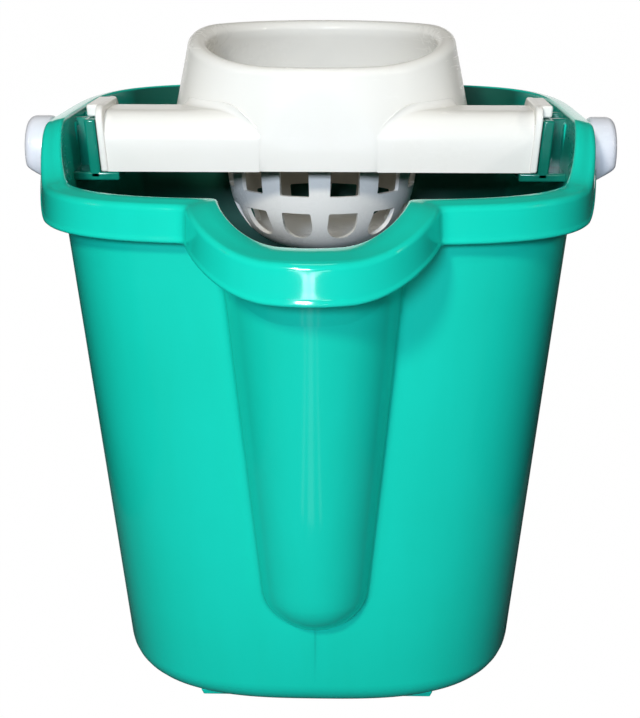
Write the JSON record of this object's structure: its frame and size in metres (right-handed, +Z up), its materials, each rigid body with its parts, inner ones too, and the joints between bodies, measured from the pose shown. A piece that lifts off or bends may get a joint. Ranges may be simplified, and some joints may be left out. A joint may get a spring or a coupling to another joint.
{
  "type": "mop bucket with wringer",
  "caption": "Plastic mop bucket with a pouring spout, a lift-out wringer head with a slotted basket, and a swinging carry bail.",
  "frame": {"origin": "middle of the object's box at floor level, where the feet stand", "axes": "+Z up, -Y towards the pouring spout, +X to the right seen from the spout's side"},
  "size_m": [0.328, 0.3518, 0.364],
  "materials": {
    "bucket": "gloss",
    "wringer_head": "gloss",
    "wringer_basket": "gloss",
    "bail": "gloss"
  },
  "bodies": {
    "tub": {"bucket": "bucket"},
    "wringer": {"wringer_head": "wringer_head", "wringer_basket": "wringer_basket"},
    "handle": {"bail": "bail"}
  },
  "joints": [
    {"name": "bail_swing", "type": "hinge", "parent": "tub", "child": "handle", "pos_m": [0, 0.02459, 0.3], "axis": [1, 0, 0], "range_deg": [0, 180]},
    {"name": "wringer_lift", "type": "slide", "parent": "tub", "child": "wringer", "axis": [0, 0, 1], "range_m": [0, 0.11]}
  ]
}
